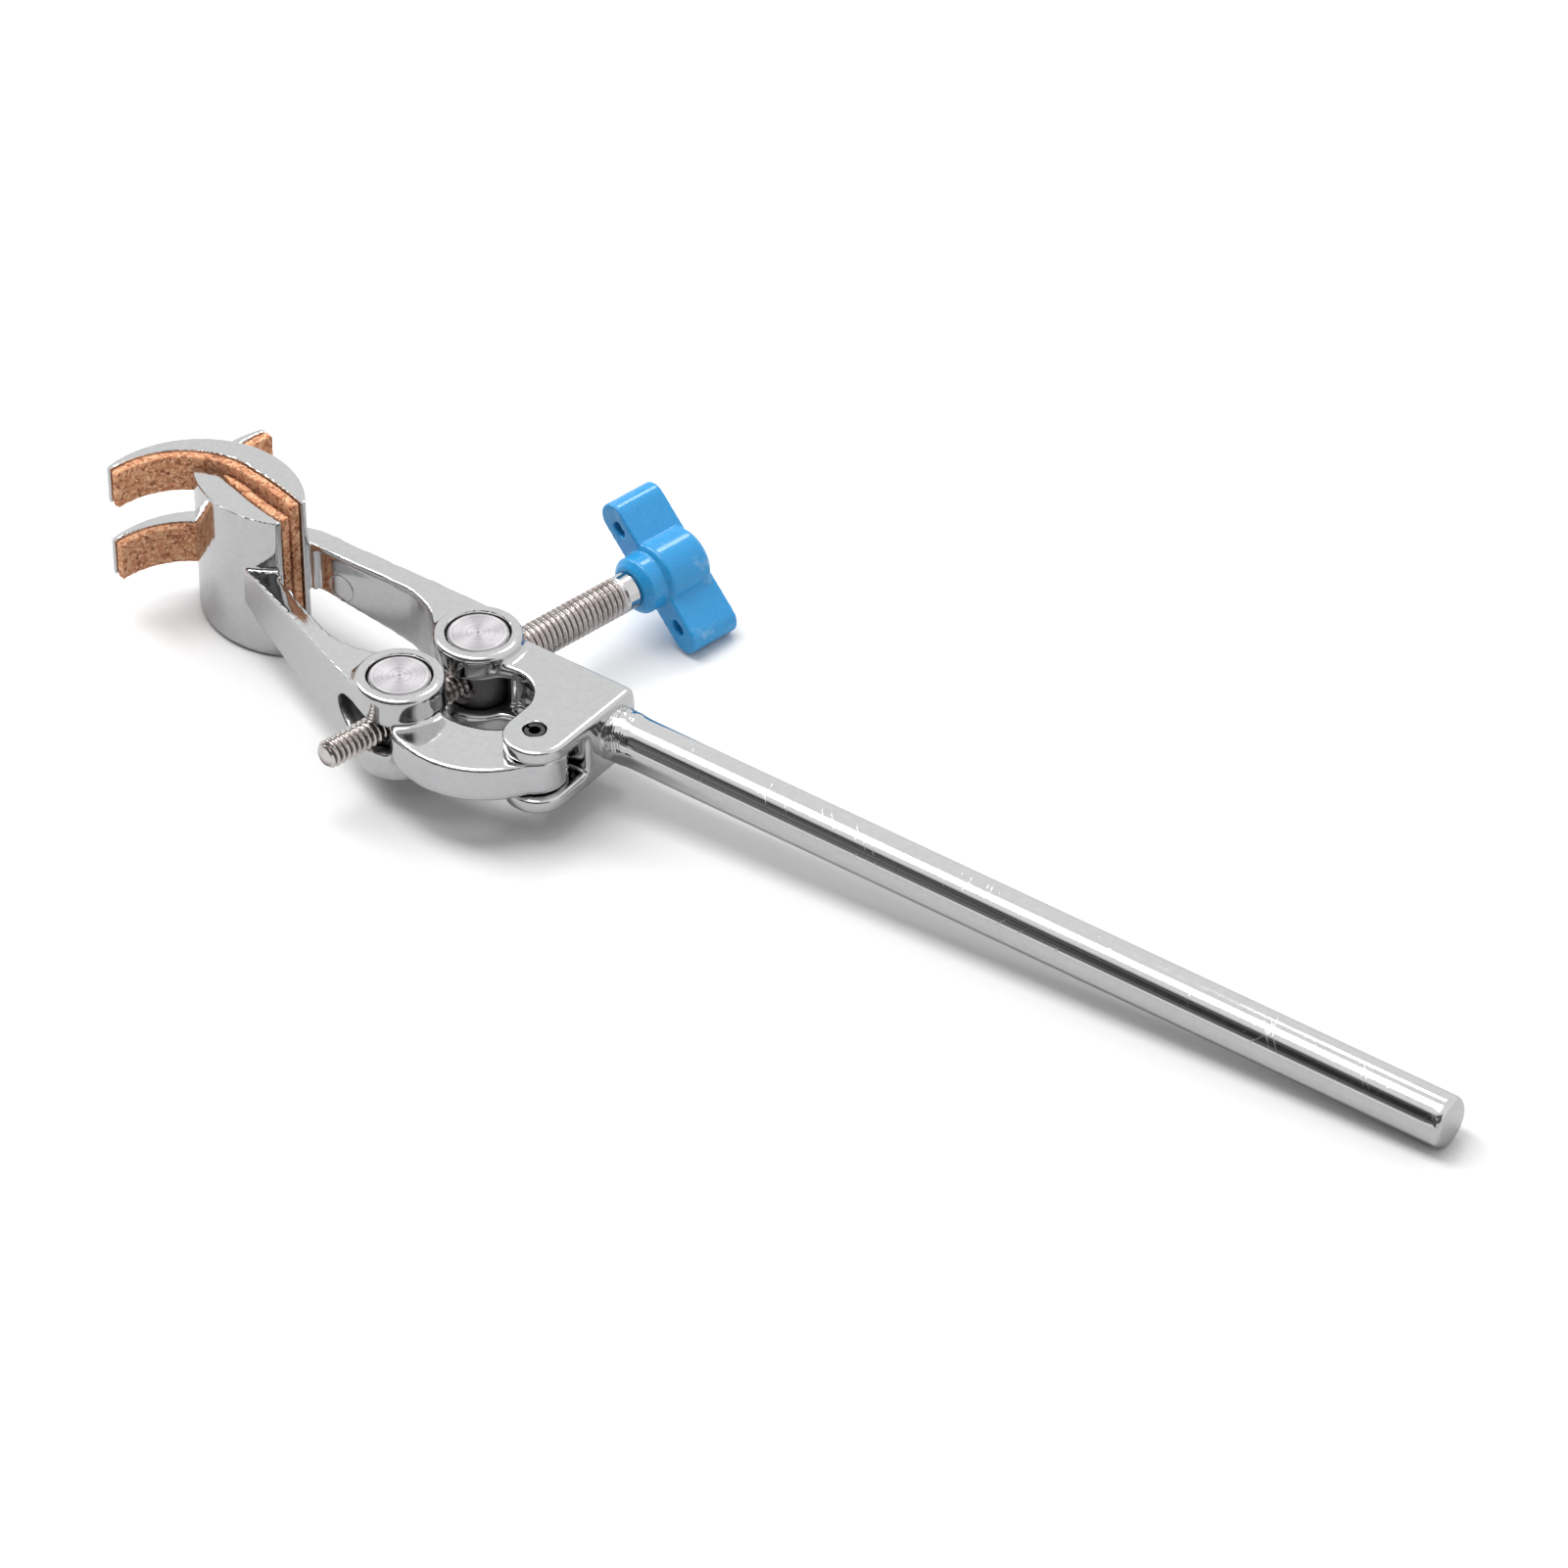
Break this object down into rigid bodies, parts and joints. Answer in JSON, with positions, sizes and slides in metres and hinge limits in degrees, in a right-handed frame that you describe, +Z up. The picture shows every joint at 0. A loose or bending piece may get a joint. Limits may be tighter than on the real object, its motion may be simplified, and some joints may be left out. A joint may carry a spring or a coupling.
{
  "type": "laboratory clamp",
  "caption": "Chrome-plated laboratory clamp with cork-lined interleaving prongs, a swinging lever closed by a wing-knob screw through barrel nuts, on a straight support rod.",
  "frame": {"origin": "centre of the support rod's free end face", "axes": "+X along the rod towards the jaws, +Y to the side of the swinging lever, +Z up along the hinge pin"},
  "size_m": [0.2991, 0.0925, 0.0338],
  "materials": {
    "rod_chrome": "polished chrome plate",
    "cast_chrome": "chrome plate over a slightly wavy casting",
    "steel": "plain plated steel",
    "aluminium": "turned end faces",
    "blue_plastic": "moulded, lightly scuffed",
    "cork_sheet": "granular cork sheet, matte"
  },
  "bodies": {
    "head": {"head_casting": "cast_chrome", "support_rod": "rod_chrome", "hinge_pin": "steel", "fixed_jaw_cork": "cork_sheet"},
    "lever": {"swing_lever": "cast_chrome", "moving_jaw_cork": "cork_sheet"},
    "rear_barrel": {"rear_barrel_nut": "aluminium"},
    "front_barrel": {"front_barrel_nut": "aluminium"},
    "screw_carrier": {"screw_collar": "rod_chrome"},
    "screw": {"clamp_screw": "steel", "wing_knob": "blue_plastic"}
  },
  "joints": [
    {"name": "lever_swing", "type": "hinge", "parent": "head", "child": "lever", "pos_m": [0.1915, 0.0154, 0], "axis": [0, 0, 1], "range_deg": [0, 50]},
    {"name": "rear_barrel_turn", "type": "hinge", "parent": "head", "child": "rear_barrel", "pos_m": [0.21634, 0.00083, 0], "axis": [0, 0, 1], "range_deg": [0, 25]},
    {"name": "front_barrel_turn", "type": "hinge", "parent": "lever", "child": "front_barrel", "pos_m": [0.21997, 0.01976, 0], "axis": [0, 0, 1], "range_deg": [-25, 0]},
    {"name": "screw_slide", "type": "slide", "parent": "rear_barrel", "child": "screw_carrier", "axis": [0.1882, 0.9821, 0], "range_m": [0, 0.0106]},
    {"name": "screw_spin", "type": "hinge", "parent": "screw_carrier", "child": "screw", "pos_m": [0.21634, 0.00083, 0], "axis": [-0.1882, -0.9821, 0], "range_deg": [0, 3045]}
  ],
  "couplings": [
    {"joint": "rear_barrel_turn", "follows": "lever_swing", "ratio": 0.5},
    {"joint": "front_barrel_turn", "follows": "lever_swing", "ratio": -0.5},
    {"joint": "screw_slide", "follows": "lever_swing", "m_per_rad": 0.012109},
    {"joint": "screw_spin", "follows": "lever_swing", "ratio": 60.87}
  ]
}
